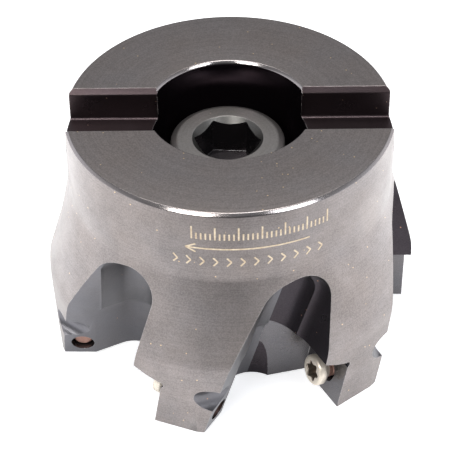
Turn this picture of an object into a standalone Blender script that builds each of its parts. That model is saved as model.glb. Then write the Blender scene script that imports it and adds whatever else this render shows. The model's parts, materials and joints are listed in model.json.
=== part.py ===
"""Indexable face mill, 63.5 mm cutting diameter, 25.4 mm pilot bore, six insert seats.

Units are metres, +Z is the cutter axis and points at the arbor side.
z = 0 is the plane of the tooth tips, the arbor face is at z = BODY_HEIGHT.
Lengths below are written in millimetres and turned into metres by mm().
"""
import math

import bmesh
import bpy
import numpy as np
from mathutils import Matrix, Vector

# ---- body ----
BODY_HEIGHT = 43.2
HUB_RADIUS = 26.6
HUB_CHAMFER = 0.5
ROUND_SEGMENTS = 96
TOOTH_COUNT = 6

# outline of the turned body from the tooth plane up, (radius, height)
BODY_OUTLINE = [(30.6, 0.0), (30.8, 4.0), (30.85, 14.2), (30.0, 17.3), (29.0, 21.2), (28.1, 24.4),
                (27.5, 26.7), (27.05, 28.3), (26.75, 29.7), (26.6, 31.2),
                (HUB_RADIUS, BODY_HEIGHT - HUB_CHAMFER), (HUB_RADIUS - HUB_CHAMFER, BODY_HEIGHT)]

BORE_RADIUS = 12.7
BORE_CHAMFER = 0.5
BORE_FLOOR = 24.6
SCREW_HOLE_RADIUS = 7.0
COUNTERBORE_RADIUS = 11.0
COUNTERBORE_TOP = 15.5

# ---- drive slot ----
SLOT_WIDTH = 9.75
SLOT_CHAMFER = 0.8
SLOT_DEPTH = 5.56
SLOT_FOOT = 0.5

# ---- tooth frame: seat of tooth 0 faces clockwise (seen from +Z) and a little up ----
SEAT_TURN = 31.3            # degrees, direction of the seat normal from -X towards +Y
SEAT_LEAN = 10.6            # degrees, axial rake
SEAT_CENTRE = (-9.40, -23.45, 4.50)
SEAT_SIDE = 5.3             # seat centre to the inner pocket wall
SEAT_TOP = 5.15             # seat centre to the upper pocket wall
WALL_CLEARANCE = 15.0       # degrees, pocket walls open away from the seat
POCKET_DEPTH = 9.0
CORNER_RELIEF = 0.65
RELIEF_DROP = 0.45          # relief bore centre below the upper wall
RELIEF_OFF = 0.3            # relief bore centre off the seat plane

# ---- gullet ----
GULLET_WALL = 5.15          # gullet wall ahead of the seat plane
GULLET_TOP = 28.9
GULLET_NOSE = 4.6           # ball nose radius of the main pass
BACK_LEAN = 15.0
BACK_OFFSET = -11.35
ROOT_ANGLE = -51.0          # degrees round the axis, where the root passes are centred
ROOT_SWEEP_ANGLE = -63.4    # degrees, direction in which the root passes run out
# root passes: ball nose radius, centre distance from the axis, top of the cut, run-out
ROOT_PASSES = [(4.4, 21.6, 27.9, 3.0), (4.76, 21.45, 15.2, 8.0)]

# ---- relief facet on the outer face of each tooth ----
FACET_ANGLE = -21.4
FACET_LEAN = 3.3
FACET_DISTANCE = 30.02

# ---- driver groove across the back of the tooth ahead ----
DRIVER_GROOVE_RADIUS = 2.25
DRIVER_GROOVE_SHIFT = (0.83, -0.94)   # groove axis off the screw axis, outward and up

# ---- insert screw ----
SCREW_HEAD_RADIUS = 2.6
SCREW_HEAD_FACE = 2.85      # head face above the seat
SCREW_HEAD_SIDE = 1.3
SCREW_SHANK_RADIUS = 1.65
SCREW_TIP = -7.6
TAPPED_HOLE_RADIUS = 1.95
HOLE_MOUTH_RADIUS = 2.4     # lead-in cone of the tapped hole at the seat
HOLE_MOUTH_DEPTH = 0.45
SPOT_FACE_RADIUS = 2.66     # shallow spot face that clears the head of the screw
SPOT_FACE_DEPTH = 0.06
LOBE_OUTER = 1.62
LOBE_INNER = 1.16
LOBE_DEPTH = 1.7

# ---- arbor screw ----
ARBOR_HEAD_RADIUS = 9.3
ARBOR_HEAD_HEIGHT = 12.4
ARBOR_SHANK_RADIUS = 6.35
ARBOR_SHANK_LENGTH = 22.2
ARBOR_SIDE_SHIFT = -0.35    # the loose screw leans against one side of its hole
ARBOR_TURN = -4.2
ARBOR_REST_GAP = 0.3
HEX_ACROSS = 9.525
HEX_DEPTH = 6.4


def mm(value):
    """Millimetres to metres."""
    return value * 0.001


def clear_scene():
    for old in list(bpy.data.objects):
        bpy.data.objects.remove(old, do_unlink=True)


def make_material(name, colour, metallic, roughness):
    material = bpy.data.materials.new(name)
    material.use_nodes = True
    shader = material.node_tree.nodes["Principled BSDF"]
    shader.inputs["Base Color"].default_value = (*colour, 1.0)
    shader.inputs["Metallic"].default_value = metallic
    shader.inputs["Roughness"].default_value = roughness
    return material


def link_mesh(name, bm):
    """Write a bmesh held in millimetres as an object in metres."""
    bmesh.ops.recalc_face_normals(bm, faces=bm.faces)
    bmesh.ops.scale(bm, vec=(0.001, 0.001, 0.001), verts=bm.verts)
    mesh = bpy.data.meshes.new(name)
    bm.to_mesh(mesh)
    bm.free()
    obj = bpy.data.objects.new(name, mesh)
    bpy.context.collection.objects.link(obj)
    return obj


def revolve(outline, segments, closed):
    """Turn an (radius, height) outline about Z. An open outline starts and ends on the axis."""
    bm = bmesh.new()
    rings = []
    for radius, height in outline:
        if radius == 0.0:
            rings.append([bm.verts.new((0.0, 0.0, height))])
            continue
        ring = []
        for i in range(segments):
            angle = 2.0 * math.pi * (i + 0.5) / segments
            ring.append(bm.verts.new((radius * math.cos(angle), radius * math.sin(angle), height)))
        rings.append(ring)
    pairs = list(zip(rings, rings[1:]))
    if closed:
        pairs.append((rings[-1], rings[0]))
    for low, high in pairs:
        for i in range(segments):
            j = (i + 1) % segments
            if len(low) == 1:
                bm.faces.new((low[0], high[j], high[i]))
            elif len(high) == 1:
                bm.faces.new((low[i], low[j], high[0]))
            else:
                bm.faces.new((low[i], low[j], high[j], high[i]))
    return bm


def hull(points):
    """Convex solid round a set of points."""
    bm = bmesh.new()
    for point in points:
        bm.verts.new(point)
    result = bmesh.ops.convex_hull(bm, input=bm.verts)
    loose = [v for v in bm.verts if not v.link_faces]
    bmesh.ops.delete(bm, geom=loose, context="VERTS")
    bmesh.ops.dissolve_limit(bm, angle_limit=math.radians(0.5), verts=bm.verts, edges=bm.edges)
    return bm


def ball_points(centre, radius, columns=20, rows=10):
    """Points of a ball nose round one centre."""
    points = [centre + Vector((0, 0, radius)), centre - Vector((0, 0, radius))]
    for row in range(1, rows):
        polar = math.pi * row / rows
        for column in range(columns):
            turn = 2.0 * math.pi * column / columns
            points.append(centre + radius * Vector((math.sin(polar) * math.cos(turn),
                                                    math.sin(polar) * math.sin(turn),
                                                    math.cos(polar))))
    return points


def prism(ends):
    """Solid between two matching closed loops."""
    bm = bmesh.new()
    first, last = [[bm.verts.new(point) for point in loop] for loop in ends]
    bm.faces.new(first)
    bm.faces.new(list(reversed(last)))
    for i in range(len(first)):
        j = (i + 1) % len(first)
        bm.faces.new((first[i], last[i], last[j], first[j]))
    return bm


def rod(start, end, radius, segments=24, end_radius=None):
    """Closed cylinder between two points, or a cone where the end has its own radius."""
    axis = (end - start).normalized()
    side = axis.orthogonal().normalized()
    other = axis.cross(side)
    points = []
    for centre, reach in ((start, radius), (end, end_radius or radius)):
        for i in range(segments):
            angle = 2.0 * math.pi * i / segments
            points.append(centre + reach * (math.cos(angle) * side + math.sin(angle) * other))
    return hull(points)


def leaning_normal(turn, lean):
    turn, lean = math.radians(turn), math.radians(lean)
    return Vector((-math.cos(turn) * math.cos(lean), math.sin(turn) * math.cos(lean), math.sin(lean)))


def tooth_turn(index):
    return Matrix.Rotation(2.0 * math.pi * index / TOOTH_COUNT, 3, "Z")


def seat_frame():
    """Centre of seat 0 with its outward, upward and facing directions."""
    facing = leaning_normal(SEAT_TURN, SEAT_LEAN)
    outward = Vector((-math.sin(math.radians(SEAT_TURN)), -math.cos(math.radians(SEAT_TURN)), 0.0))
    upward = outward.cross(facing)
    if upward.z < 0.0:
        upward.negate()
    return Vector(SEAT_CENTRE), outward, upward, facing


def seat_point(out, up, off):
    centre, outward, upward, facing = seat_frame()
    return centre + out * outward + up * upward + off * facing


def gullet_centre(height, wall, back, nose):
    """Where a ball touching the gullet wall and the back of the tooth ahead sits at one height."""
    centre, _, _, facing = seat_frame()
    behind = tooth_turn(-1) @ leaning_normal(SEAT_TURN, BACK_LEAN)
    rows = np.array([[facing.x, facing.y], [behind.x, behind.y]])
    values = np.array([facing.dot(centre) + wall + nose - facing.z * height,
                       back - nose - behind.z * height])
    x, y = np.linalg.solve(rows, values)
    return Vector((x, y, height))


def main_pass():
    """Main gullet pass: a ball nose run along the tooth face and along the back of the next tooth."""
    _, outward, _, _ = seat_frame()
    along_back = tooth_turn(-1) @ outward
    points = []
    for height in (-12.0, GULLET_TOP - GULLET_NOSE):
        inner = gullet_centre(height, GULLET_WALL, BACK_OFFSET, GULLET_NOSE)
        for centre in (inner, inner + 30.0 * outward, inner + 30.0 * along_back):
            points += ball_points(centre, GULLET_NOSE)
    return hull(points)


def root_pass(nose, distance, top, reach):
    """One root pass: a ball nose run up the root of the gullet to the given height."""
    angle = math.radians(ROOT_ANGLE)
    start = Vector((math.sin(angle), -math.cos(angle), 0.0)) * distance
    low = gullet_centre(0.0, GULLET_WALL, BACK_OFFSET, GULLET_NOSE)
    high = gullet_centre(10.0, GULLET_WALL, BACK_OFFSET, GULLET_NOSE)
    slope = (high - low) / 10.0
    run_out = math.radians(ROOT_SWEEP_ANGLE)
    sweep = Vector((math.sin(run_out), -math.cos(run_out), 0.0)) * reach
    points = []
    for height in (-12.0, top - nose):
        for centre in (start + slope * height, start + slope * height + sweep):
            points += ball_points(centre, nose)
    return hull(points)


def pocket_solid():
    """Insert pocket: two walls that open away from the seat, free at the outside and the bottom."""
    spread = math.tan(math.radians(WALL_CLEARANCE)) * POCKET_DEPTH
    points = []
    for off, grow in ((0.0, 0.0), (POCKET_DEPTH, spread)):
        inner, top = -SEAT_SIDE - grow, SEAT_TOP + grow
        for out, up in ((inner, top), (14.0, top), (14.0, -14.0), (inner, -14.0)):
            points.append(seat_point(out, up, off))
    return hull(points)


def facet_solid():
    """Block beyond the relief facet plane."""
    angle, lean = math.radians(FACET_ANGLE), math.radians(FACET_LEAN)
    away = Vector((math.sin(angle) * math.cos(lean), -math.cos(angle) * math.cos(lean), -math.sin(lean)))
    side = Vector((math.cos(angle), math.sin(angle), 0.0))
    up = away.cross(side)
    if up.z < 0.0:
        up.negate()
    points = []
    for reach in (FACET_DISTANCE, FACET_DISTANCE + 6.0):
        for across, rise in ((-12, -5), (14, -5), (14, 18), (-12, 18)):
            points.append(away * reach + side * across + up * rise)
    return hull(points)


def slot_cutter(reach):
    """Drive slot along X: straight walls, opened mouth and a small foot fillet."""
    half, mouth = SLOT_WIDTH / 2.0, SLOT_WIDTH / 2.0 + SLOT_CHAMFER
    floor = BODY_HEIGHT - SLOT_DEPTH
    profile = [(half - SLOT_FOOT, floor), (half - 0.15, floor + 0.15), (half, floor + SLOT_FOOT),
               (half, BODY_HEIGHT - SLOT_CHAMFER), (mouth, BODY_HEIGHT), (mouth, BODY_HEIGHT + 3.0)]
    loop = profile + [(-y, z) for y, z in reversed(profile)]
    return prism([[Vector((x, y, z)) for y, z in loop] for x in (-reach, reach)])


def add_cutter(name, bm, turn_index=0):
    bmesh.ops.transform(bm, matrix=tooth_turn(turn_index).to_4x4(), verts=bm.verts)
    cutter = link_mesh(name, bm)
    cutter.hide_render = True
    cutter.display_type = "WIRE"
    return cutter


def cut(obj, cutter):
    """Apply one exact difference and drop the cutter."""
    modifier = obj.modifiers.new("cut_" + cutter.name, "BOOLEAN")
    modifier.operation = "DIFFERENCE"
    modifier.solver = "EXACT"
    modifier.object = cutter
    bpy.context.view_layer.objects.active = obj
    bpy.ops.object.modifier_apply(modifier=modifier.name)
    bpy.data.objects.remove(cutter, do_unlink=True)


def tidy_mesh(obj):
    """Weld doubled points and drop needle faces left by the cuts."""
    bm = bmesh.new()
    bm.from_mesh(obj.data)
    bmesh.ops.remove_doubles(bm, verts=bm.verts, dist=0.00001)
    bmesh.ops.dissolve_degenerate(bm, dist=0.00001, edges=bm.edges)
    bmesh.ops.recalc_face_normals(bm, faces=bm.faces)
    bm.to_mesh(obj.data)
    bm.free()


def shade_by_angle(obj, degrees):
    for polygon in obj.data.polygons:
        polygon.use_smooth = True
    obj.data.set_sharp_from_angle(angle=math.radians(degrees))


def set_origin(obj, point):
    """Move the object's origin to a world point given in millimetres."""
    shift = Vector(point) * 0.001
    obj.data.transform(Matrix.Translation(-shift))
    obj.location = shift


def build_body(material):
    outline = BODY_OUTLINE + [(BORE_RADIUS + BORE_CHAMFER, BODY_HEIGHT),
                              (BORE_RADIUS, BODY_HEIGHT - BORE_CHAMFER),
                              (BORE_RADIUS, BORE_FLOOR), (SCREW_HOLE_RADIUS, BORE_FLOOR),
                              (SCREW_HOLE_RADIUS, COUNTERBORE_TOP),
                              (COUNTERBORE_RADIUS, COUNTERBORE_TOP), (COUNTERBORE_RADIUS, 0.6),
                              (COUNTERBORE_RADIUS + 0.6, 0.0)]
    body = link_mesh("cutter_body", revolve(outline, ROUND_SEGMENTS, closed=True))
    cut(body, add_cutter("drive_slot", slot_cutter(35.0)))
    for index in range(TOOTH_COUNT):
        cut(body, add_cutter("main_pass", main_pass(), index))
        for root in ROOT_PASSES:
            cut(body, add_cutter("root_pass", root_pass(*root), index))
    for index in range(TOOTH_COUNT):
        cut(body, add_cutter("facet", facet_solid(), index))
        cut(body, add_cutter("pocket", pocket_solid(), index))
        relief = rod(seat_point(-SEAT_SIDE - 0.3, SEAT_TOP - RELIEF_DROP, RELIEF_OFF),
                     seat_point(12.0, SEAT_TOP - RELIEF_DROP, RELIEF_OFF), CORNER_RELIEF, 12)
        cut(body, add_cutter("relief", relief, index))
        spot = rod(seat_point(0, 0, -SPOT_FACE_DEPTH), seat_point(0, 0, 1.5), SPOT_FACE_RADIUS)
        cut(body, add_cutter("spot_face", spot, index))
        hole = rod(seat_point(0, 0, -14.0), seat_point(0, 0, 2.0), TAPPED_HOLE_RADIUS)
        cut(body, add_cutter("hole", hole, index))
        flare = (HOLE_MOUTH_RADIUS - TAPPED_HOLE_RADIUS) / HOLE_MOUTH_DEPTH
        mouth = rod(seat_point(0, 0, -1.0), seat_point(0, 0, 1.0), HOLE_MOUTH_RADIUS - flare,
                    end_radius=HOLE_MOUTH_RADIUS + flare)
        cut(body, add_cutter("mouth", mouth, index))
        groove = rod(seat_point(*DRIVER_GROOVE_SHIFT, 7.0), seat_point(*DRIVER_GROOVE_SHIFT, 40.0),
                     DRIVER_GROOVE_RADIUS)
        cut(body, add_cutter("groove", groove, index))
    tidy_mesh(body)
    body.data.materials.append(material)
    shade_by_angle(body, 28.0)
    return body


def star_solid(outer, inner, low, high, count=48):
    """Six lobed socket prism along Z."""
    middle, swing = (outer + inner) / 2.0, (outer - inner) / 2.0
    loops = []
    for height in (low, high):
        loop = []
        for i in range(count):
            angle = 2.0 * math.pi * i / count
            radius = middle + swing * math.cos(6.0 * angle)
            loop.append(Vector((radius * math.cos(angle), radius * math.sin(angle), height)))
        loops.append(loop)
    return prism(loops)


def build_insert_screw(index, material):
    """Screw turned along its own Z, then laid on the seat axis."""
    head, side = SCREW_HEAD_FACE, SCREW_HEAD_FACE - SCREW_HEAD_SIDE
    cone_foot = side - (SCREW_HEAD_RADIUS - SCREW_SHANK_RADIUS) * 1.15
    outline = [(0.0, SCREW_TIP), (SCREW_SHANK_RADIUS - 0.35, SCREW_TIP),
               (SCREW_SHANK_RADIUS, SCREW_TIP + 0.35), (SCREW_SHANK_RADIUS, cone_foot),
               (SCREW_HEAD_RADIUS, side), (SCREW_HEAD_RADIUS, head - 0.25),
               (SCREW_HEAD_RADIUS - 0.25, head), (0.0, head)]
    screw = link_mesh("insert_screw_%d" % (index + 1), revolve(outline, 32, closed=False))
    cut(screw, add_cutter("star", star_solid(LOBE_OUTER, LOBE_INNER, head - LOBE_DEPTH, head + 1.0)))
    tidy_mesh(screw)
    centre, outward, upward, facing = seat_frame()
    lay = Matrix((outward, upward, facing)).transposed()
    if lay.determinant() < 0.0:
        lay = Matrix((-outward, upward, facing)).transposed()
    turn = tooth_turn(index)
    screw.data.transform((turn @ lay).to_4x4())
    screw.location = turn @ centre * 0.001
    screw.data.materials.append(material)
    shade_by_angle(screw, 35.0)
    return screw


def build_arbor_screw(material):
    """Socket head screw standing head up in the pilot bore."""
    floor = BORE_FLOOR + ARBOR_REST_GAP
    top, low = floor + ARBOR_HEAD_HEIGHT, floor - ARBOR_SHANK_LENGTH
    outline = [(0.0, low), (ARBOR_SHANK_RADIUS - 1.0, low), (ARBOR_SHANK_RADIUS, low + 1.0),
               (ARBOR_SHANK_RADIUS, floor), (ARBOR_HEAD_RADIUS - 0.4, floor),
               (ARBOR_HEAD_RADIUS, floor + 0.4), (ARBOR_HEAD_RADIUS, top - 0.6),
               (ARBOR_HEAD_RADIUS - 1.0, top), (0.0, top)]
    screw = link_mesh("arbor_screw", revolve(outline, 64, closed=False))
    corner = HEX_ACROSS / math.sqrt(3.0)
    socket = []
    for height in (top - HEX_DEPTH, top + 1.0):
        for i in range(6):
            angle = math.radians(60.0 * i)
            socket.append(Vector((corner * math.cos(angle), corner * math.sin(angle), height)))
    cut(screw, add_cutter("hex", hull(socket)))
    lead_in = [(0.0, top - 1.2), (HEX_ACROSS / 2.0 - 0.35, top - 1.2), (corner + 0.35, top + 0.05),
               (0.0, top + 0.05)]
    cut(screw, add_cutter("lead_in", revolve(lead_in, 64, closed=False)))
    tidy_mesh(screw)
    screw.data.transform(Matrix.Rotation(math.radians(ARBOR_TURN), 4, "Z"))
    screw.data.transform(Matrix.Translation((mm(ARBOR_SIDE_SHIFT), 0.0, 0.0)))
    set_origin(screw, (ARBOR_SIDE_SHIFT, 0.0, floor))
    screw.data.materials.append(material)
    shade_by_angle(screw, 28.0)
    return screw


def main():
    clear_scene()
    oxide = make_material("black_oxide_steel", (0.10, 0.095, 0.09), 0.9, 0.42)
    screw_black = make_material("alloy_screw_steel", (0.16, 0.16, 0.16), 0.9, 0.38)
    nickel = make_material("nickel_screw_steel", (0.62, 0.58, 0.50), 1.0, 0.3)
    build_body(oxide)
    build_arbor_screw(screw_black)
    for index in range(TOOTH_COUNT):
        build_insert_screw(index, nickel)


main()
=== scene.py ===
import json
import math

import bmesh
import bpy
import numpy as np
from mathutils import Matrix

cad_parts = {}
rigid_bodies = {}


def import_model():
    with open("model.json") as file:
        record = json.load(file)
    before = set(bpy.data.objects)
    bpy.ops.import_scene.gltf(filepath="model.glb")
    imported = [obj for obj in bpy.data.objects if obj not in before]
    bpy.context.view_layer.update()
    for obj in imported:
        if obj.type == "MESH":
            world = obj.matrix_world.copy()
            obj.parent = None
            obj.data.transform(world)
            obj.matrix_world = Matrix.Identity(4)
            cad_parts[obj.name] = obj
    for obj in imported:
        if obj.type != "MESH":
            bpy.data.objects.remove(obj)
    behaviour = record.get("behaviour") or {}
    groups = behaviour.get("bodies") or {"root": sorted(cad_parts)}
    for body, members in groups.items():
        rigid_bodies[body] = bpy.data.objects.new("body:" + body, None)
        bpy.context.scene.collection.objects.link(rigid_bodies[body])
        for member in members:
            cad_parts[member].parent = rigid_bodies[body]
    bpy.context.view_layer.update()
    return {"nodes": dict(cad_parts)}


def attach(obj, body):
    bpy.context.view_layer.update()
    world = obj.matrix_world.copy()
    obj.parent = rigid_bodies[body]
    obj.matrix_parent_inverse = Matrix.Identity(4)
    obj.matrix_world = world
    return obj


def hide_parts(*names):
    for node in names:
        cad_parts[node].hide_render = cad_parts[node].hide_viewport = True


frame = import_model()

print("frame loaded:", ", ".join(sorted(frame["nodes"])))

# every shape below is worked out in millimetres, z = 0 at the tooth tips, and scaled once by putMesh
mm = 0.001
toothCount = 6

camera = {
    "place": (0.0, -0.2332, 0.2177),
    "turn": (49.511, 0.510, -0.201),    # degrees
    "lens": 145.26,
}

# outlines are (radius, height, how far the rounding of that corner reaches)
millBody = {
    "outline": [(30.6, 0.0, 0.12), (30.8, 4.0, 0.8), (30.83, 14.2, 1.2), (26.6, 30.06, 0.6),
                (26.6, 42.7, 0.12), (26.1, 43.2, 0.12), (13.2, 43.2, 0.12), (12.8, 42.75, 0.2),
                (12.7, 41.6, 0.9), (12.7, 24.6, 0.5), (7.0, 24.6, 0.3), (7.0, 15.5, 0.3), (11.0, 15.5, 0.5),
                (11.0, 0.6, 0.12), (11.6, 0.0, 0.12)],
    # the bore surfaces take a near-black painted shade
    "boreRadius": 13.05,          # surfaces inside this radius take the bore's finish
    "segments": 240,
    "height": 43.2,
    "chamfer": 0.5,
    "slotHalfWidth": 4.875,
    "slotDepth": 5.56,
    "slotChamfer": 0.8,
    "slotFoot": 0.5,
}

tooth = {
    "seatTurn": 31.3,             # degrees, seat normal from -x towards +y
    "seatLean": 10.6,             # degrees, axial rake
    "seatCentre": (-9.40, -23.45, 4.50),
    "seatSide": 5.3,
    "seatTop": 5.15,
    "wallOpening": 15.0,
    "pocketDepth": 9.0,
    "reliefRadius": 0.65,
    "reliefDrop": 0.45,
    "reliefOff": 0.3,
    "holeRadius": 1.95,
    "mouthRadius": 2.4,
    "mouthDepth": 0.45,
    "facetAngle": -21.4,
    "facetLean": 3.3,
    "facetDistance": 30.02,
    "driverRadius": 2.25,
    "driverShift": (0.83, -0.94),
}

gullet = {
    "wall": 5.15,
    "top": 28.9,
    "nose": 4.6,
    "backLean": 15.0,
    "backOffset": -11.35,
    "rootAngle": -51.0,
    "runOutAngle": -63.4,
    "rootPasses": [(4.4, 21.6, 27.9, 3.0), (4.76, 21.45, 15.2, 8.0)],   # nose, distance, top, run-out
    # gullet surfaces facing the seat more than this take the near-black painted shade
    "paintedShadeFrom": 0.33,            # cosine between a gullet surface and the seat beside it
    "ballColumns": 56,
    "ballRows": 28,
}


# surfaces

def unit(vectors):
    # each vector over its own length
    vectors = np.asarray(vectors, float)
    length = np.linalg.norm(vectors, axis=-1, keepdims=True)
    return vectors / np.maximum(length, 1e-12)


def turnAbout(points, degrees):
    # x' = x cos a - y sin a, y' = x sin a + y cos a
    a = math.radians(degrees)
    matrix = np.array([[math.cos(a), -math.sin(a), 0], [math.sin(a), math.cos(a), 0], [0, 0, 1.0]])
    return np.asarray(points, float) @ matrix.T


def gridFaces(rows, columns, closeRows=False, closeColumns=False):
    # quads from each grid point to its next row and column, wrapping where the sheet closes
    i, j = np.meshgrid(np.arange(rows if closeRows else rows - 1),
                       np.arange(columns if closeColumns else columns - 1), indexing="ij")
    up, on = (i + 1) % rows, (j + 1) % columns
    quads = np.stack([i * columns + j, i * columns + on, up * columns + on, up * columns + j], -1)
    return quads.reshape(-1, 4)


def putMesh(name, points, faces):
    mesh = bpy.data.meshes.new(name)
    mesh.from_pydata(np.asarray(points).reshape(-1, 3) * mm, [], faces)
    work = bmesh.new()
    work.from_mesh(mesh)
    bmesh.ops.remove_doubles(work, verts=work.verts, dist=2e-7)
    bmesh.ops.dissolve_degenerate(work, dist=1e-7, edges=work.edges)
    bmesh.ops.recalc_face_normals(work, faces=work.faces)
    work.to_mesh(mesh)
    work.free()
    piece = bpy.data.objects.new(name, mesh)
    bpy.context.scene.collection.objects.link(piece)
    return piece


def roundCorners(outline, steps=5):
    # corner p becomes (1-t)^2 a + 2t(1-t) p + t^2 b, where a and b lie on the two sides that far from p
    outline = np.array(outline, float)
    p, reach = outline[:, :2], outline[:, 2:3]
    a = p + reach * unit(np.roll(p, 1, axis=0) - p)
    b = p + reach * unit(np.roll(p, -1, axis=0) - p)
    t = np.linspace(0.0, 1.0, steps)[None, :, None]
    curve = (1 - t) ** 2 * a[:, None] + 2 * t * (1 - t) * p[:, None] + t ** 2 * b[:, None]
    flat = curve.reshape(-1, 2)
    keep = np.linalg.norm(flat - np.roll(flat, 1, axis=0), axis=1) > 1e-6
    keep[0] = True
    return flat[keep]


def turned(name, profile, segments, closed, threadCut=None):
    # radius r and height z of the profile swept round z: x = (r - cut) cos a, y = (r - cut) sin a
    a = 2 * np.pi * (np.arange(segments) + 0.5) / segments
    r, z = profile[:, :1], profile[:, 1:] + 0 * a
    if threadCut is not None:
        r = r - threadCut(z, a)
    points = np.stack([r * np.cos(a), r * np.sin(a), z], -1)
    return putMesh(name, points, gridFaces(len(profile), segments, closed, True))


def prism(name, loop, low, high, axis):
    # a closed flat loop carried from low to high along one axis, with both ends filled
    loop = np.asarray(loop, float)
    ends = [np.insert(loop, axis, place, axis=1) for place in (low, high)]
    count = len(loop)
    faces = gridFaces(2, count, False, True).tolist()
    faces += [list(range(count)), list(range(count, 2 * count))]
    return putMesh(name, np.concatenate(ends), faces)


def hull(name, points):
    # the tightest convex skin round the points
    work = bmesh.new()
    for point in np.asarray(points).reshape(-1, 3) * mm:
        work.verts.new(point)
    bmesh.ops.convex_hull(work, input=work.verts)
    bmesh.ops.delete(work, geom=[v for v in work.verts if not v.link_faces], context="VERTS")
    bmesh.ops.dissolve_limit(work, angle_limit=math.radians(0.3), verts=work.verts, edges=work.edges)
    mesh = bpy.data.meshes.new(name)
    work.to_mesh(mesh)
    work.free()
    piece = bpy.data.objects.new(name, mesh)
    bpy.context.scene.collection.objects.link(piece)
    return piece


def ballCloud(centres, radius):
    # centre + radius (sin p cos q, sin p sin q, cos p) for every centre
    p, q = np.meshgrid(np.linspace(0, np.pi, gullet["ballRows"] + 1),
                       2 * np.pi * np.arange(gullet["ballColumns"]) / gullet["ballColumns"], indexing="ij")
    sphere = np.stack([np.sin(p) * np.cos(q), np.sin(p) * np.sin(q), np.cos(p)], -1).reshape(-1, 3)
    return np.asarray(centres)[:, None] + radius * sphere[None]


def rodCloud(start, end, radius, count=40, endRadius=None):
    # two rings square to the line from start to end: centre + radius (cos a side + sin a other)
    along = unit(end - start)
    side = unit(np.cross(along, (0.3, 0.2, 0.9)))
    other = np.cross(along, side)
    a = 2 * np.pi * np.arange(count)[:, None] / count
    ring = np.cos(a) * side + np.sin(a) * other
    return np.concatenate([start + radius * ring, end + (endRadius or radius) * ring])


def leaning(turn, lean):
    turn, lean = math.radians(turn), math.radians(lean)
    return np.array([-math.cos(turn) * math.cos(lean), math.sin(turn) * math.cos(lean), math.sin(lean)])


seatFacing = leaning(tooth["seatTurn"], tooth["seatLean"])
seatOutward = np.array([-math.sin(math.radians(tooth["seatTurn"])),
                        -math.cos(math.radians(tooth["seatTurn"])), 0.0])
seatUpward = np.cross(seatFacing, seatOutward)
seatUpward = seatUpward * np.sign(seatUpward[2])


def seatPoint(out, up, off):
    # seat centre + out along the rim + up the seat + off its face
    return np.array(tooth["seatCentre"]) + out * seatOutward + up * seatUpward + off * seatFacing


def gulletCentre(height):
    # where a ball resting on the gullet wall and on the back of the next tooth sits at one height
    behind = turnAbout(leaning(tooth["seatTurn"], gullet["backLean"]), -60.0)
    rows = np.array([seatFacing[:2], behind[:2]])
    wall = seatFacing @ np.array(tooth["seatCentre"]) + gullet["wall"] + gullet["nose"]
    x, y = np.linalg.solve(rows, [wall - seatFacing[2] * height,
                                  gullet["backOffset"] - gullet["nose"] - behind[2] * height])
    return np.array([x, y, height])


# cutters of one gullet, given in place for tooth 0

def mainPassCloud():
    reach = 30.0
    alongBack = turnAbout(seatOutward, -60.0)
    centres = []
    for height in (-12.0, gullet["top"] - gullet["nose"]):
        inner = gulletCentre(height)
        centres += [inner, inner + reach * seatOutward, inner + reach * alongBack]
    return ballCloud(centres, gullet["nose"])


def rootPassCloud(nose, distance, top, reach):
    def direction(degrees):
        return np.array([math.sin(math.radians(degrees)), -math.cos(math.radians(degrees)), 0.0])
    slope = (gulletCentre(10.0) - gulletCentre(0.0)) / 10.0
    centres = []
    for height in (-12.0, top - nose):
        foot = distance * direction(gullet["rootAngle"]) + slope * height
        centres += [foot, foot + reach * direction(gullet["runOutAngle"])]
    return ballCloud(centres, nose)


def pocketCloud():
    spread = math.tan(math.radians(tooth["wallOpening"])) * tooth["pocketDepth"]
    corners = []
    for off, grow in ((0.0, 0.0), (tooth["pocketDepth"], spread)):
        inner, top = -tooth["seatSide"] - grow, tooth["seatTop"] + grow
        corners += [seatPoint(inner, top, off), seatPoint(14, top, off),
                    seatPoint(14, -14, off), seatPoint(inner, -14, off)]
    return np.array(corners)


def facetCloud():
    angle, lean = math.radians(tooth["facetAngle"]), math.radians(tooth["facetLean"])
    away = np.array([math.sin(angle) * math.cos(lean), -math.cos(angle) * math.cos(lean), -math.sin(lean)])
    side = np.array([math.cos(angle), math.sin(angle), 0.0])
    up = np.cross(away, side)
    up = up * np.sign(up[2])
    corners = []
    for reach in (tooth["facetDistance"], tooth["facetDistance"] + 6.0):
        for across, rise in ((-12, -5), (14, -5), (14, 18), (-12, 18)):
            corners.append(away * reach + side * across + up * rise)
    return np.array(corners)


def toothClouds():
    drop = tooth["seatTop"] - tooth["reliefDrop"]
    clouds = [("mainPass", "gulletOxidePaintedShade", mainPassCloud())]
    for index, root in enumerate(gullet["rootPasses"]):
        clouds.append(("rootPass%d" % index, "gulletOxidePaintedShade", rootPassCloud(*root)))
    clouds.append(("facet", "outerOxide", facetCloud()))
    clouds.append(("pocket", "seatOxide", pocketCloud()))
    clouds.append(("relief", "seatOxide",
                   rodCloud(seatPoint(-tooth["seatSide"] - 0.3, drop, tooth["reliefOff"]),
                            seatPoint(12.0, drop, tooth["reliefOff"]), tooth["reliefRadius"], 20)))
    clouds.append(("screwHole", "seatOxide",
                   rodCloud(seatPoint(0, 0, -14.0), seatPoint(0, 0, 2.0), tooth["holeRadius"])))
    flare = (tooth["mouthRadius"] - tooth["holeRadius"]) / tooth["mouthDepth"]
    clouds.append(("holeMouth", "seatOxide",
                   rodCloud(seatPoint(0, 0, -1.0), seatPoint(0, 0, 1.0), tooth["mouthRadius"] - flare, 40,
                            tooth["mouthRadius"] + flare)))
    clouds.append(("driverGroove", "gulletOxidePaintedShade",
                   rodCloud(seatPoint(*tooth["driverShift"], 7.0), seatPoint(*tooth["driverShift"], 40.0),
                            tooth["driverRadius"])))
    return clouds


# materials

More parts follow.
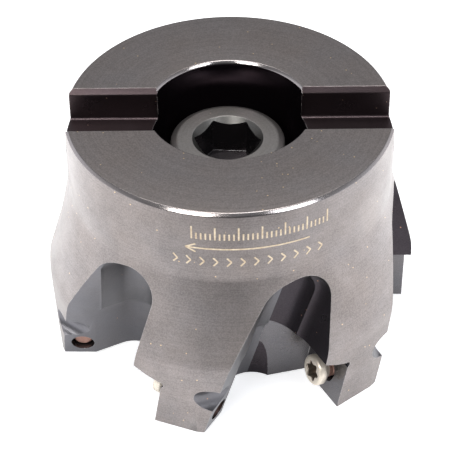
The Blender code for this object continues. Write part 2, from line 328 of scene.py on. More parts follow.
def newGroup(name, inputs, outputs):
    group = bpy.data.node_groups.new(name, "ShaderNodeTree")
    for label, kind, value in inputs:
        socket = group.interface.new_socket(label, in_out="INPUT", socket_type=kind)
        socket.default_value = value
    for label, kind in outputs:
        group.interface.new_socket(label, in_out="OUTPUT", socket_type=kind)
    nodes = group.nodes
    return group, nodes.new("NodeGroupInput"), nodes.new("NodeGroupOutput")


def addNode(tree, kind, values=None, **settings):
    node = tree.nodes.new(kind)
    for key, value in settings.items():
        setattr(node, key, value)
    for socket, value in (values or {}).items():
        if hasattr(value, "is_output"):
            tree.links.new(value, node.inputs[socket])
        else:
            node.inputs[socket].default_value = value
    return node


def calc(tree, operation, first, second=0.0, third=0.0):
    values = {0: first, 1: second, 2: third}
    return addNode(tree, "ShaderNodeMath", values, operation=operation).outputs[0]


def rampBetween(tree, value, low, high):
    # 0 at low, 1 at high, straight between
    return addNode(tree, "ShaderNodeMapRange", {0: value, 1: low, 2: high}, clamp=True).outputs[0]


def mixColour(tree, factor, first, second, blend="MIX"):
    # sockets 0, 6 and 7 of a colour mix are its factor and its two colours
    node = tree.nodes.new("ShaderNodeMix")
    node.data_type, node.blend_type = "RGBA", blend
    for index, value in ((0, factor), (6, first), (7, second)):
        if hasattr(value, "is_output"):
            tree.links.new(value, node.inputs[index])
        else:
            node.inputs[index].default_value = value if index == 0 else (*value[:3], 1.0)
    return node.outputs[2]


# grain: a cloudy value, a fine one, lathe rings that depend on radius and height alone, and a bump height
grainGroup, grainIn, grainOut = newGroup(
    "oxideGrain", [("Cloud size", "NodeSocketFloat", 0.004), ("Grain size", "NodeSocketFloat", 0.0002)],
    [("Cloud", "NodeSocketFloat"), ("Fine", "NodeSocketFloat"), ("Rings", "NodeSocketFloat"),
     ("Height", "NodeSocketFloat")])
place = addNode(grainGroup, "ShaderNodeTexCoord").outputs["Object"]
cloudScale = calc(grainGroup, "DIVIDE", 1.0, grainIn.outputs["Cloud size"])
grainScale = calc(grainGroup, "DIVIDE", 1.0, grainIn.outputs["Grain size"])
cloud = addNode(grainGroup, "ShaderNodeTexNoise", {"Vector": place, "Scale": cloudScale, "Detail": 5.0,
                                                   "Roughness": 0.62})
fine = addNode(grainGroup, "ShaderNodeTexNoise", {"Vector": place, "Scale": grainScale, "Detail": 2.0})
flatPlace = addNode(grainGroup, "ShaderNodeVectorMath", {0: place, 1: (1.0, 1.0, 0.0)},
                    operation="MULTIPLY")
fromAxis = addNode(grainGroup, "ShaderNodeVectorMath", {0: flatPlace.outputs[0]}, operation="LENGTH")
heightOnly = addNode(grainGroup, "ShaderNodeSeparateXYZ", {0: place}).outputs[2]
ringPlace = addNode(grainGroup, "ShaderNodeCombineXYZ", {0: fromAxis.outputs["Value"], 1: heightOnly})
rings = addNode(grainGroup, "ShaderNodeTexNoise", {"Vector": ringPlace.outputs[0], "Scale": 3200.0,
                                                   "Detail": 3.0, "Roughness": 0.7})
ringed = rampBetween(grainGroup, rings.outputs[0], 0.3, 0.7)
grainGroup.links.new(ringed, grainOut.inputs["Rings"])
grainGroup.links.new(rampBetween(grainGroup, cloud.outputs[0], 0.3, 0.7), grainOut.inputs["Cloud"])
relief = calc(grainGroup, "MULTIPLY_ADD", ringed, 0.5, fine.outputs[0])
grainGroup.links.new(relief, grainOut.inputs["Height"])
grainGroup.links.new(rampBetween(grainGroup, fine.outputs[0], 0.35, 0.65), grainOut.inputs["Fine"])

# edge wear: how far the normal of a rounded corner leaves the true one, broken up by noise
wearGroup, wearIn, wearOut = newGroup(
    "edgeWear", [("Breakup size", "NodeSocketFloat", 0.0012), ("Reach", "NodeSocketFloat", 0.00022)],
    [("Mask", "NodeSocketFloat")])
soft = addNode(wearGroup, "ShaderNodeBevel", {"Radius": wearIn.outputs["Reach"]}, samples=6)
true = addNode(wearGroup, "ShaderNodeNewGeometry").outputs["Normal"]
same = addNode(wearGroup, "ShaderNodeVectorMath", {0: soft.outputs[0], 1: true}, operation="DOT_PRODUCT")
bend = rampBetween(wearGroup, same.outputs["Value"], 0.985, 0.86)
breakScale = calc(wearGroup, "DIVIDE", 1.0, wearIn.outputs["Breakup size"])
patches = addNode(wearGroup, "ShaderNodeTexNoise",
                  {"Vector": addNode(wearGroup, "ShaderNodeTexCoord").outputs["Object"],
                   "Scale": breakScale, "Detail": 3.0})
patchy = rampBetween(wearGroup, patches.outputs[0], 0.35, 0.6)
wearGroup.links.new(calc(wearGroup, "MULTIPLY", bend, patchy), wearOut.inputs["Mask"])

# specks: one small dot in some cells of a cell pattern
speckGroup, speckIn, speckOut = newGroup(
    "specks", [("Spacing", "NodeSocketFloat", 0.0015), ("Size", "NodeSocketFloat", 0.12),
               ("Share", "NodeSocketFloat", 0.2)], [("Mask", "NodeSocketFloat")])
speckScale = calc(speckGroup, "DIVIDE", 1.0, speckIn.outputs["Spacing"])
cells = addNode(speckGroup, "ShaderNodeTexVoronoi",
                {"Vector": addNode(speckGroup, "ShaderNodeTexCoord").outputs["Object"], "Scale": speckScale})
near = calc(speckGroup, "LESS_THAN", cells.outputs["Distance"], speckIn.outputs["Size"])
chosen = addNode(speckGroup, "ShaderNodeSeparateColor", {0: cells.outputs["Color"]}).outputs[0]
some = calc(speckGroup, "LESS_THAN", chosen, speckIn.outputs["Share"])
speckGroup.links.new(calc(speckGroup, "MULTIPLY", near, some), speckOut.inputs["Mask"])
print("shader groups built")


def placeGroup(tree, group, values):
    node = tree.nodes.new("ShaderNodeGroup")
    node.node_tree = group
    for label, value in values.items():
        node.inputs[label].default_value = value
    return node


metalLooks = {
    "outerOxide": {"dark": (0.165, 0.152, 0.151), "light": (0.345, 0.319, 0.317), "worn": (0.72, 0.7, 0.69),
                   "speck": (0.8, 0.6, 0.36), "speckShare": 0.06, "rough": (0.3, 0.38), "metallic": 0.95,
                   "bump": 0.12, "wear": 0.5},
    "chamferOxide": {"dark": (0.3, 0.28, 0.29), "light": (0.42, 0.4, 0.4), "worn": (0.85, 0.83, 0.8),
                     "speck": (0.62, 0.5, 0.36), "speckShare": 0.05, "rough": (0.12, 0.18),
                     "metallic": 1.0, "bump": 0.05, "wear": 0.5},
    # gullets and driver grooves: oxide darkened well below the outer oxide, painted shade in the recesses
    "gulletOxidePaintedShade": {"dark": (0.14, 0.14, 0.155), "light": (0.18, 0.182, 0.2), "worn": (0.62, 0.62, 0.63),
                    "speck": (0.5, 0.3, 0.2), "speckShare": 0.04, "rough": (0.3, 0.38), "metallic": 0.95,
                    "bump": 0.08, "wear": 0.35},
    # near-black painted shade for the gullet surfaces that face the seat ahead
    "rootPaintedShade": {"dark": (0.035, 0.03, 0.036), "light": (0.06, 0.052, 0.06), "worn": (0.5, 0.5, 0.51),
                  "speck": (0.55, 0.3, 0.2), "speckShare": 0.12, "rough": (0.26, 0.34), "metallic": 0.9,
                  "bump": 0.08, "wear": 0.25},
    "seatOxide": {"dark": (0.13, 0.128, 0.14), "light": (0.17, 0.168, 0.18), "worn": (0.75, 0.74, 0.74),
                  "speck": (0.5, 0.42, 0.34), "speckShare": 0.04, "rough": (0.22, 0.3), "metallic": 0.95,
                  "bump": 0.06, "wear": 0.5},
    # drive slot: oxide darkened, painted shade in the slot
    "slotOxidePaintedShade": {"dark": (0.064, 0.049, 0.054), "light": (0.088, 0.069, 0.075), "worn": (0.8, 0.77, 0.76),
                  "speck": (0.6, 0.42, 0.32), "speckShare": 0.05, "rough": (0.26, 0.34), "metallic": 0.95,
                  "bump": 0.05, "wear": 0.6},
    # bore: oxide made near-black, painted shade inside the bore
    "boreOxidePaintedShade": {"dark": (0.02, 0.014, 0.019), "light": (0.03, 0.022, 0.03), "worn": (0.8, 0.78, 0.78),
                  "speck": (0.6, 0.42, 0.32), "speckShare": 0.03, "rough": (0.16, 0.24), "metallic": 0.9,
                  "bump": 0.04, "wear": 0.5},
    "arborScrewOxide": {"dark": (0.22, 0.21, 0.208), "light": (0.32, 0.31, 0.305), "worn": (0.7, 0.7, 0.7),
                        "speck": (0.5, 0.42, 0.35), "speckShare": 0.03, "rough": (0.34, 0.42),
                        "metallic": 0.95, "bump": 0.05, "wear": 0.45},
    # hex socket and its drill point: painted shade, far darker than the screw head
    "socketPaintedShade": {"dark": (0.06, 0.055, 0.062), "light": (0.09, 0.085, 0.09), "worn": (0.8, 0.8, 0.8),
                    "speck": (0.5, 0.42, 0.35), "speckShare": 0.02, "rough": (0.22, 0.3),
                    "metallic": 0.95, "bump": 0.03, "wear": 0.3},
    # lead-in round the hex socket: painted shade, less dark than the socket
    "socketRimPaintedShade": {"dark": (0.12, 0.12, 0.12), "light": (0.18, 0.18, 0.175), "worn": (0.85, 0.85, 0.85),
                  "speck": (0.5, 0.42, 0.35), "speckShare": 0.02, "rough": (0.3, 0.38),
                  "metallic": 0.95, "bump": 0.03, "wear": 0.3},
    "screwSteel": {"dark": (0.74, 0.68, 0.59), "light": (0.86, 0.81, 0.72), "worn": (0.93, 0.9, 0.86),
                   "speck": (0.45, 0.38, 0.3), "speckShare": 0.03, "rough": (0.32, 0.42), "metallic": 0.6,
                   "bump": 0.03, "wear": 0.3},
    # star recess of the insert screw: painted shade, far darker than the head
    "starPaintedShade": {"dark": (0.2, 0.17, 0.14), "light": (0.3, 0.26, 0.22), "worn": (0.8, 0.76, 0.7),
                  "speck": (0.45, 0.38, 0.3), "speckShare": 0.03, "rough": (0.34, 0.44), "metallic": 0.8,
                  "bump": 0.03, "wear": 0.3},
    "screwCopper": {"dark": (0.36, 0.2, 0.165), "light": (0.46, 0.28, 0.23), "worn": (0.7, 0.5, 0.42),
                    "speck": (0.4, 0.25, 0.2), "speckShare": 0.02, "rough": (0.4, 0.5), "metallic": 0.6,
                    "bump": 0.03, "wear": 0.2},
}


# pattern sizes in metres, the same on every metal, and how much each pattern counts
surface = {
    "cloudSize": 0.006,
    "grainSize": 0.00022,
    "blotchSize": 0.011,
    "blotchGrain": 0.0005,
    "blotchTint": (1.0, 0.93, 0.86),
    "blotchShare": 0.6,
    "cloudShare": 0.35,
    "fineShare": 0.4,
    "ringShare": 0.25,
    "wearBreakup": 0.0009,
    "wearReach": 0.0002,
    "speckSpacing": 0.0008,
    "speckSize": 0.135,
    "edgeRadius": 0.00015,
    "bumpDistance": 0.0001,
}


def metalMaterial(name):
    look = metalLooks[name]
    material = bpy.data.materials.new(name)
    material.use_nodes = True
    tree = material.node_tree
    shader = tree.nodes["Principled BSDF"]
    grain = placeGroup(tree, grainGroup, {"Cloud size": surface["cloudSize"],
                                          "Grain size": surface["grainSize"]})
    wear = placeGroup(tree, wearGroup, {"Breakup size": surface["wearBreakup"],
                                        "Reach": surface["wearReach"]})
    speck = placeGroup(tree, speckGroup, {"Spacing": surface["speckSpacing"], "Size": surface["speckSize"],
                                          "Share": look["speckShare"]})
    tone = calc(tree, "MULTIPLY", grain.outputs["Cloud"], surface["cloudShare"])
    tone = calc(tree, "MULTIPLY_ADD", grain.outputs["Fine"], surface["fineShare"], tone)
    tone = calc(tree, "MULTIPLY_ADD", grain.outputs["Rings"], surface["ringShare"], tone)
    colour = mixColour(tree, tone, look["dark"], look["light"])
    blotch = placeGroup(tree, grainGroup, {"Cloud size": surface["blotchSize"],
                                           "Grain size": surface["blotchGrain"]})
    tinge = calc(tree, "MULTIPLY", blotch.outputs["Cloud"], surface["blotchShare"])
    colour = mixColour(tree, tinge, colour, surface["blotchTint"], "MULTIPLY")
    colour = mixColour(tree, speck.outputs["Mask"], colour, look["speck"])
    worn = calc(tree, "MULTIPLY", wear.outputs["Mask"], look["wear"])
    tree.links.new(mixColour(tree, worn, colour, look["worn"]), shader.inputs["Base Color"])
    rough = addNode(tree, "ShaderNodeMapRange", {0: grain.outputs["Cloud"], 3: look["rough"][1],
                                                 4: look["rough"][0]}).outputs[0]
    tree.links.new(rough, shader.inputs["Roughness"])
    shader.inputs["Metallic"].default_value = look["metallic"]
    rounded = addNode(tree, "ShaderNodeBevel", {"Radius": surface["edgeRadius"]}, samples=6)
    bump = addNode(tree, "ShaderNodeBump", {"Height": grain.outputs["Height"], "Strength": look["bump"],
                                            "Distance": surface["bumpDistance"],
                                            "Normal": rounded.outputs[0]})
    tree.links.new(bump.outputs[0], shader.inputs["Normal"])
    return material


metals = {name: metalMaterial(name) for name in metalLooks}
print("metals:", len(metals))


# joining cutters and solids

def carve(solid, cutters, sharpAngle):
    # one exact difference of all the cutters, whose cut faces keep each cutter's own finish
    bundle = bpy.data.collections.new(solid.name + "Cutters")
    for cutter in cutters:
        bundle.objects.link(cutter)
    modifier = solid.modifiers.new("carve", "BOOLEAN")
    modifier.operation, modifier.solver = "DIFFERENCE", "EXACT"
    modifier.operand_type, modifier.collection = "COLLECTION", bundle
    modifier.material_mode = "TRANSFER"
    seen = bpy.context.evaluated_depsgraph_get()
    carved = bpy.data.meshes.new_from_object(solid.evaluated_get(seen))
    solid.modifiers.remove(modifier)
    solid.data = carved
    carved.name = solid.name
    for cutter in cutters:
        bpy.data.objects.remove(cutter, do_unlink=True)
    bpy.data.collections.remove(bundle)
    work = bmesh.new()
    work.from_mesh(carved)
    bmesh.ops.remove_doubles(work, verts=work.verts, dist=4e-6)
    bmesh.ops.dissolve_degenerate(work, dist=2e-6, edges=work.edges)
    work.to_mesh(carved)
    work.free()
    smoothBy(solid, sharpAngle)


def smoothBy(piece, degrees):
    mesh = piece.data
    mesh.polygons.foreach_set("use_smooth", np.ones(len(mesh.polygons), bool))
    mesh.set_sharp_from_angle(angle=math.radians(degrees))


def faceFrames(piece):
    # centre of every face in millimetres, and its normal
    centre = np.zeros(len(piece.data.polygons) * 3, np.float32)
    facing = centre.copy()
    piece.data.polygons.foreach_get("center", centre)
    piece.data.polygons.foreach_get("normal", facing)
    return centre.reshape(-1, 3) / mm, facing.reshape(-1, 3)


def dress(piece, name):
    piece.data.materials.append(metals[name])
    return piece


# the mill body

body = turned("millBody", roundCorners(millBody["outline"]), millBody["segments"], True)
for finish in ("outerOxide", "boreOxidePaintedShade", "chamferOxide"):
    dress(body, finish)
centre, _ = faceFrames(body)
radius, height = np.hypot(centre[:, 0], centre[:, 1]), centre[:, 2]
edge = millBody["height"] - millBody["chamfer"]
finish = np.where(radius < millBody["boreRadius"], 1, 0)
finish[(height > edge) & (height < millBody["height"] - 0.02)] = 2
body.data.polygons.foreach_set("material_index", finish.astype(np.int32))

half, top = millBody["slotHalfWidth"], millBody["height"]
slotFloor = top - millBody["slotDepth"]
slotSide = [(half, slotFloor, millBody["slotFoot"]), (half, top - millBody["slotChamfer"], 0.15),
            (half + millBody["slotChamfer"], top, 0.15), (half + millBody["slotChamfer"] + 0.5, top + 0.3, 0),
            (half + 1.3, top + 3.0, 0.0)]
slotLoop = roundCorners(slotSide + [(-y, z, reach) for y, z, reach in reversed(slotSide)])
dress(body, "rootPaintedShade")
cutters = [dress(prism("driveSlot", slotLoop, -35.0, 35.0, 0), "slotOxidePaintedShade")]
clouds = toothClouds()
for index in range(toothCount):
    for label, finish, cloud in clouds:
        shape = hull("%s%d" % (label, index), turnAbout(cloud, 360.0 / toothCount * index))
        cutters.append(dress(shape, finish))
carve(body, cutters, 32.0)

# painted shade: the half of each gullet that looks away from its back wall is given a near-black colour
centre, facing = faceFrames(body)
names = [slot.name for slot in body.data.materials]
finish = np.zeros(len(centre), np.int32)
body.data.polygons.foreach_get("material_index", finish)
milled = finish == names.index("gulletOxidePaintedShade")
seatSides = np.stack([turnAbout(seatFacing, 360.0 / toothCount * k) for k in range(toothCount)])
gulletSides = np.stack([turnAbout(gulletCentre(10.0), 360.0 / toothCount * k) for k in range(toothCount)])
nearest = np.argmax(centre[:, :2] @ unit(gulletSides[:, :2]).T, axis=1)
towards = np.sum(facing * seatSides[nearest], axis=1)
finish[milled & (towards > gullet["paintedShadeFrom"])] = names.index("rootPaintedShade")
body.data.polygons.foreach_set("material_index", finish)
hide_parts("cutter_body")
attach(body, "cutter")
print("mill body:", len(body.data.polygons), "faces")


# screws

insertScrew = {
    "headRadius": 2.6,
    "headFace": 2.85,
    "headSide": 1.3,
    "shankRadius": 1.65,
    "tip": -7.7,
    "pitch": 0.6,
    "threadDepth": 0.27,
    "starOuter": 1.62,
    "starInner": 1.16,
    "starDepth": 1.7,
}

arborScrew = {
    "shift": -0.35,
    "turn": -4.2,
    "seat": 24.9,
    "headRadius": 9.3,
    "headHeight": 12.4,
    "shankRadius": 6.35,
    "shankLength": 22.2,
    "pitch": 1.27,
    "threadDepth": 0.6,
    "hexAcross": 9.525,
    "hexDepth": 6.4,
}


def threadCutter(low, high, pitch, depth):
    # a V groove that climbs one pitch a turn and fades out over one pitch at either end
    def cut(z, a):
        phase = np.mod(z / pitch - a / (2 * np.pi), 1.0)
        groove = depth * (1.0 - np.abs(2.0 * phase - 1.0))
        fade = np.clip((z - low) / pitch, 0, 1) * np.clip((high - z) / pitch, 0, 1)
        return groove * fade
    return cut


def withThreadRows(outline, low, high, step):
    # the outline with evenly spaced rows put in along the straight shank
    profile = roundCorners(outline)
    radius = np.interp(low, profile[:, 1], profile[:, 0])
    rows = np.arange(low + step, high, step)
    before, after = profile[profile[:, 1] <= low], profile[profile[:, 1] >= high]
    return np.concatenate([before, np.column_stack([rows * 0 + radius, rows]), after])


def makeInsertScrew():
    d = insertScrew
    head, side = d["headFace"], d["headFace"] - d["headSide"]
    coneFoot = side - (d["headRadius"] - d["shankRadius"]) * 1.15
    outline = [(0.0, d["tip"], 0), (d["shankRadius"] - 0.35, d["tip"], 0.1),
               (d["shankRadius"], d["tip"] + 0.35, 0.05), (d["shankRadius"], coneFoot, 0.1),
               (d["headRadius"], side, 0.2), (d["headRadius"], head - 0.3, 0.15),
               (d["headRadius"] - 0.3, head, 0.15), (0.0, head, 0)]
    low, high = d["tip"] + 0.45, coneFoot - 0.3
    profile = withThreadRows(outline, low, high, d["pitch"] / 8)
    screw = turned("insertScrew", profile, 48, False,
                   threadCutter(low, high, d["pitch"], d["threadDepth"]))
    dress(screw, "screwSteel")
    dress(screw, "screwCopper")
    centre, _ = faceFrames(screw)
    copper = (centre[:, 2] < coneFoot - 0.2).astype(np.int32)
    screw.data.polygons.foreach_set("material_index", copper)
    # star recess: radius = middle + swing cos 6a, with a lead-in at the face and a cone at its foot
    a = 2 * np.pi * np.arange(72) / 72
    middle, swing = (d["starOuter"] + d["starInner"]) / 2, (d["starOuter"] - d["starInner"]) / 2
    levels = [(1.12, head + 0.6), (1.12, head), (1.0, head - 0.14), (0.97, head - d["starDepth"]),
              (0.0, head - d["starDepth"] - 0.45)]
    grow = np.array([level[0] for level in levels])[:, None]
    star = grow * (middle + swing * np.cos(6 * a))
    height = np.array([level[1] for level in levels])[:, None] + 0 * a
    points = np.stack([star * np.cos(a), star * np.sin(a), height], -1).reshape(-1, 3)
    faces = gridFaces(len(levels), len(a), False, True).tolist() + [list(range(len(a)))]
    # the recess takes painted shade
    recess = dress(putMesh("star", points, faces), "starPaintedShade")
    carve(screw, [recess], 32.0)
    return screw


def makeArborScrew():
    d = arborScrew
    top, low = d["seat"] + d["headHeight"], d["seat"] - d["shankLength"]
    outline = [(0.0, low, 0), (d["shankRadius"] - 1.0, low, 0.2), (d["shankRadius"], low + 1.0, 0.2),
               (d["shankRadius"], d["seat"], 0.4), (d["headRadius"] - 0.4, d["seat"], 0.15),
               (d["headRadius"], d["seat"] + 0.4, 0.15), (d["headRadius"], top - 0.6, 0.3),
               (d["headRadius"] - 1.0, top, 0.25), (0.0, top, 0)]
    threadLow, threadHigh = low + 1.1, d["seat"] - 4.0
    profile = withThreadRows(outline, threadLow, threadHigh, d["pitch"] / 10)
    screw = turned("arborScrew", profile, 96, False,
                   threadCutter(threadLow, threadHigh, d["pitch"], d["threadDepth"]))
    dress(screw, "arborScrewOxide")
    corner = d["hexAcross"] / math.sqrt(3.0)
    a = np.radians(60.0 * np.arange(6))
    hexagon = np.column_stack([corner * np.cos(a), corner * np.sin(a), 0 * a + 0.25])
    # the socket, its lead-in and drill point carry painted shade
    socket = dress(prism("hexSocket", roundCorners(hexagon, 4), top - d["hexDepth"], top + 1.0, 2),
                   "socketPaintedShade")
    leadIn = np.array([(0.0, top - 1.2), (d["hexAcross"] / 2 - 0.35, top - 1.2), (corner + 0.35, top + 0.05),
                       (0.0, top + 0.05)])
    drill = np.array([(0.0, top - d["hexDepth"] - 2.2), (4.4, top - d["hexDepth"] + 0.05),
                      (0.0, top - d["hexDepth"] + 0.05)])
    cutters = [socket, dress(turned("leadIn", leadIn, 96, False), "socketRimPaintedShade"),
               dress(turned("drill", drill, 96, False), "socketPaintedShade")]
    carve(screw, cutters, 32.0)
    moved = turnAbout(readPoints(screw), d["turn"]) + np.array([d["shift"] * mm, 0, 0])
    writePoints(screw, moved)
    return screw


def readPoints(piece):
    points = np.zeros(len(piece.data.vertices) * 3, np.float32)
    piece.data.vertices.foreach_get("co", points)
    return points.reshape(-1, 3)


def writePoints(piece, points):
    piece.data.vertices.foreach_set("co", np.asarray(points, np.float32).ravel())
    piece.data.update()


screwPattern = makeInsertScrew()
local = readPoints(screwPattern)
lay = np.array([np.cross(seatUpward, seatFacing), seatUpward, seatFacing])    # rows: x, y, z of the screw
for index in range(toothCount):
    name = "insertScrew%d" % (index + 1)
    mesh = screwPattern.data.copy()
    mesh.name = name
    piece = bpy.data.objects.new(name, mesh)
    bpy.context.scene.collection.objects.link(piece)
    placed = local @ lay + np.array(tooth["seatCentre"]) * mm
    writePoints(piece, turnAbout(placed, 360.0 / toothCount * index))
    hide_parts("insert_screw_%d" % (index + 1))
    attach(piece, "insert_screw_%d" % (index + 1))
bpy.data.objects.remove(screwPattern, do_unlink=True)

bigScrew = makeArborScrew()
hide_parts("arbor_screw")
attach(bigScrew, "arbor_screw")
print("screws:", toothCount + 1)


# etched marks on the hub

marks = {
    "radius": 26.6,
    "stand": 0.02,                # how far a stroke stands off the hub
    "sink": 0.06,
    "width": 0.26,
    "steps": 25,                  # places along one stroke
    # u and z of each row, in millimetres
    "scale": {"start": -6.0, "gap": 0.72, "count": 31, "foot": 38.2, "short": 39.4, "long": 40.6},
    "longEvery": 5,
    "arrow": {"tip": -7.0, "tail": 12.5, "height": 36.4, "barb": -5.4, "barbTop": 37.2, "barbFoot": 35.6},
    "chevrons": {"start": -9.0, "gap": 2.1, "count": 12, "width": 0.7,
                 "top": 34.6, "middle": 33.8, "foot": 33.0},
    "cloudSize": 0.0006,
    "grainSize": 0.00015,
    "dark": (0.55, 0.42, 0.28),
    "light": (0.86, 0.74, 0.56),
    "rough": 0.7,
}


def strokeMesh(name, strokes):
    # each stroke is a straight line (u0, z0) to (u1, z1) on the unrolled hub, u is arc length from the front;
    # a four-cornered section is carried along it and wrapped on: x = r sin(u/R), y = -r cos(u/R)
    strokes = np.array(strokes, float)
    steps = marks["steps"]
    s = np.linspace(0, 1, steps)[None, :, None]
    line = strokes[:, None, :2] * (1 - s) + strokes[:, None, 2:] * s
    side = unit(strokes[:, 2:] - strokes[:, :2])[:, ::-1] * (-1, 1) * marks["width"] / 2
    across = np.array([-1, 1, 1, -1.0])[None, None, :, None]
    flat = line[:, :, None] + across * side[:, None, None]
    r = marks["radius"] + np.array([-marks["sink"], -marks["sink"], marks["stand"], marks["stand"]])
    a = flat[..., 0] / marks["radius"]
    points = np.stack([r * np.sin(a), -r * np.cos(a), flat[..., 1]], -1)
    sides = gridFaces(steps, 4, False, True)
    caps = np.array([[0, 1, 2, 3], [4 * steps - 1, 4 * steps - 2, 4 * steps - 3, 4 * steps - 4]])
    one = np.concatenate([sides, caps])
    faces = (one[None] + 4 * steps * np.arange(len(strokes))[:, None, None]).reshape(-1, 4)
    return putMesh(name, points, faces.tolist())


def markStrokes():
    # a graduated row with longer strokes at even intervals, an arrow below it, and a row of chevrons
    scale, arrow, chevrons = marks["scale"], marks["arrow"], marks["chevrons"]
    strokes = []
    for step in range(scale["count"]):
        u = scale["start"] + scale["gap"] * step
        strokes.append((u, scale["foot"], u, scale["long" if step % marks["longEvery"] == 0 else "short"]))
    tip, height = arrow["tip"], arrow["height"]
    strokes.append((tip, height, arrow["tail"], height))
    strokes += [(tip, height, arrow["barb"], end) for end in (arrow["barbTop"], arrow["barbFoot"])]
    for step in range(chevrons["count"]):
        u = chevrons["start"] + chevrons["gap"] * step
        point = u + chevrons["width"]
        strokes += [(u, chevrons["top"], point, chevrons["middle"]),
                    (point, chevrons["middle"], u, chevrons["foot"])]
    return strokes


etched = bpy.data.materials.new("etchedMark")
etched.use_nodes = True
tree = etched.node_tree
shader = tree.nodes["Principled BSDF"]
grain = placeGroup(tree, grainGroup, {"Cloud size": marks["cloudSize"], "Grain size": marks["grainSize"]})
tree.links.new(mixColour(tree, grain.outputs["Cloud"], marks["dark"], marks["light"]),
               shader.inputs["Base Color"])
shader.inputs["Roughness"].default_value = marks["rough"]
markPiece = strokeMesh("hubMarks", markStrokes())
markPiece.data.materials.append(etched)
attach(markPiece, "cutter")
print("hub marks:", len(markPiece.data.polygons), "faces")


# floor, light and camera

studio = {
    "floorSize": 1.6,
    "floorColour": (0.86, 0.86, 0.87),
    "floorGlow": 0.5,
    "eyeGlow": 0.15,              # added where the camera itself sees the floor
    "backGlow": 0.95,             # how much more it gives beside and behind the part
    "underShade": 0.8,            # how much of it is lost right under the part
    # where each of those starts and is full, in metres on the floor
    "frontFade": (-0.035, -0.12),
    "frontWidth": (0.12, 0.03),
    "besideFade": (0.028, 0.075),
    "behindFade": (-0.03, 0.03),
    "underFade": (0.027, 0.016),
    "frontShade": 0.75,           # how much of the floor's light the part loses in front of it
    "skyColour": (0.95, 0.96, 1.0),
    "sky": 0.40,
    "skySide": 0.9,
    "skyShade": 0.8,
    # the same for the sky, as parts of a unit direction
    "skyFrontFade": (-0.25, -0.7),
    "skyFrontHeight": (0.85, 0.6),
    "skySideFade": (0.5, 0.9),
    "skySideHeight": (0.6, 0.2),
    "backdrop": 1.0,
    # name: place, size, watts, colour
    "lamps": {
        "overhead": ((0.0, 0.09, 0.8), 0.45, 4.4, (1.0, 0.99, 0.97)),
        "leftFront": ((-0.25, -0.46, 0.53), 0.26, 2.4, (1.0, 0.98, 0.95)),
        "rightFront": ((0.39, -0.38, 0.5), 0.26, 1.4, (0.95, 0.97, 1.0)),
    },
}

size = studio["floorSize"] / 2
floorMesh = bpy.data.meshes.new("floor")
floorMesh.from_pydata([(-size, -size, 0), (size, -size, 0), (size, size, 0), (-size, size, 0)], [],
                      [(0, 1, 2, 3)])
floorPiece = bpy.data.objects.new("floor", floorMesh)
floorPiece.location.z = -0.0002
bpy.context.scene.collection.objects.link(floorPiece)


def product(tree, *values):
    result = values[0]
    for value in values[1:]:
        result = calc(tree, "MULTIPLY", result, value)
    return result


# floor: pale to the eye; it lights the part most from beside and behind, less in front, least from under it
floorMaterial = bpy.data.materials.new("paleFloor")
floorMaterial.use_nodes = True
tree = floorMaterial.node_tree
floorShader = tree.nodes["Principled BSDF"]
floorShader.inputs["Roughness"].default_value = 0.6
spot = addNode(tree, "ShaderNodeSeparateXYZ", {0: addNode(tree, "ShaderNodeTexCoord").outputs["Object"]})
eye = addNode(tree, "ShaderNodeLightPath").outputs["Is Camera Ray"]
unseen = calc(tree, "SUBTRACT", 1.0, eye)
aside = calc(tree, "ABSOLUTE", spot.outputs[0])
shade = product(tree, rampBetween(tree, spot.outputs[1], *studio["frontFade"]),
                rampBetween(tree, aside, *studio["frontWidth"]), unseen, studio["frontShade"])
left = calc(tree, "SUBTRACT", 1.0, shade)
tree.links.new(mixColour(tree, shade, studio["floorColour"], (0.0, 0.0, 0.0)),
               floorShader.inputs["Base Color"])
floorShader.inputs["Emission Color"].default_value = (0.975, 0.985, 1.0, 1.0)
backLight = product(tree, rampBetween(tree, aside, *studio["besideFade"]),
                    rampBetween(tree, spot.outputs[1], *studio["behindFade"]), unseen, studio["backGlow"])
away = addNode(tree, "ShaderNodeVectorMath", {0: addNode(tree, "ShaderNodeTexCoord").outputs["Object"]},
               operation="LENGTH").outputs["Value"]
under = calc(tree, "SUBTRACT", 1.0, product(tree, rampBetween(tree, away, *studio["underFade"]), unseen,
                                            studio["underShade"]))
glow = calc(tree, "MULTIPLY_ADD", eye, studio["eyeGlow"], backLight)
glow = calc(tree, "ADD", product(tree, left, under, studio["floorGlow"]), glow)
tree.links.new(glow, floorShader.inputs["Emission Strength"])
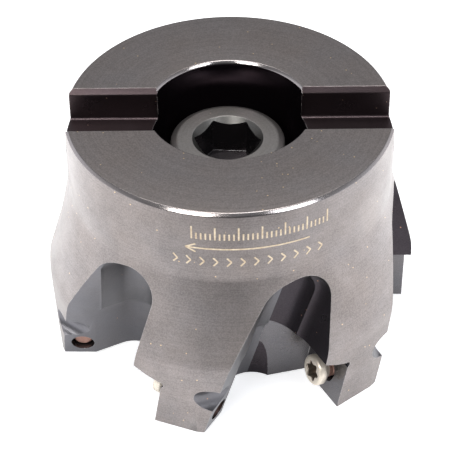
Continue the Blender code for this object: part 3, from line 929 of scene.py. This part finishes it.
floorMesh.materials.append(floorMaterial)

# sky: pale to the eye; for the part it is bright low at the sides and dark low in front
world = bpy.data.worlds.new("studio")
bpy.context.scene.world = world
world.use_nodes = True
tree = world.node_tree
background = tree.nodes["Background"]
background.inputs["Color"].default_value = (*studio["skyColour"], 1.0)
way = addNode(tree, "ShaderNodeSeparateXYZ", {0: addNode(tree, "ShaderNodeTexCoord").outputs["Generated"]})
eye = addNode(tree, "ShaderNodeLightPath").outputs["Is Camera Ray"]
aside = calc(tree, "ABSOLUTE", way.outputs[0])
shade = product(tree, rampBetween(tree, way.outputs[1], *studio["skyFrontFade"]),
                rampBetween(tree, way.outputs[2], *studio["skyFrontHeight"]), studio["skyShade"])
glow = product(tree, rampBetween(tree, aside, *studio["skySideFade"]),
               rampBetween(tree, way.outputs[2], *studio["skySideHeight"]), studio["skySide"])
sky = calc(tree, "MULTIPLY_ADD", calc(tree, "SUBTRACT", 1.0, shade), studio["sky"], glow)
sky = calc(tree, "MULTIPLY_ADD", eye, calc(tree, "SUBTRACT", studio["backdrop"], sky), sky)
tree.links.new(sky, background.inputs["Strength"])

for name, (spot, width, watts, tint) in studio["lamps"].items():
    light = bpy.data.lights.new(name, "AREA")
    light.shape, light.size, light.energy, light.color = "SQUARE", width, watts, tint
    lamp = bpy.data.objects.new(name, light)
    bpy.context.scene.collection.objects.link(lamp)
    lamp.location = spot
    aim = np.array((0.0, 0.0, 0.02)) - np.array(spot)
    flat = math.hypot(aim[0], aim[1])
    turn = math.atan2(-aim[0], aim[1]) if flat > 1e-6 else 0.0
    lamp.rotation_euler = (math.atan2(flat, -aim[2]), 0.0, turn)

view = bpy.data.cameras.new("camera")
view.lens = camera["lens"]
view.clip_start = 0.01
viewer = bpy.data.objects.new("camera", view)
bpy.context.scene.collection.objects.link(viewer)
viewer.location = camera["place"]
viewer.rotation_euler = [math.radians(angle) for angle in camera["turn"]]
bpy.context.scene.camera = viewer
bpy.context.scene.view_settings.view_transform = "Standard"
print("studio ready")
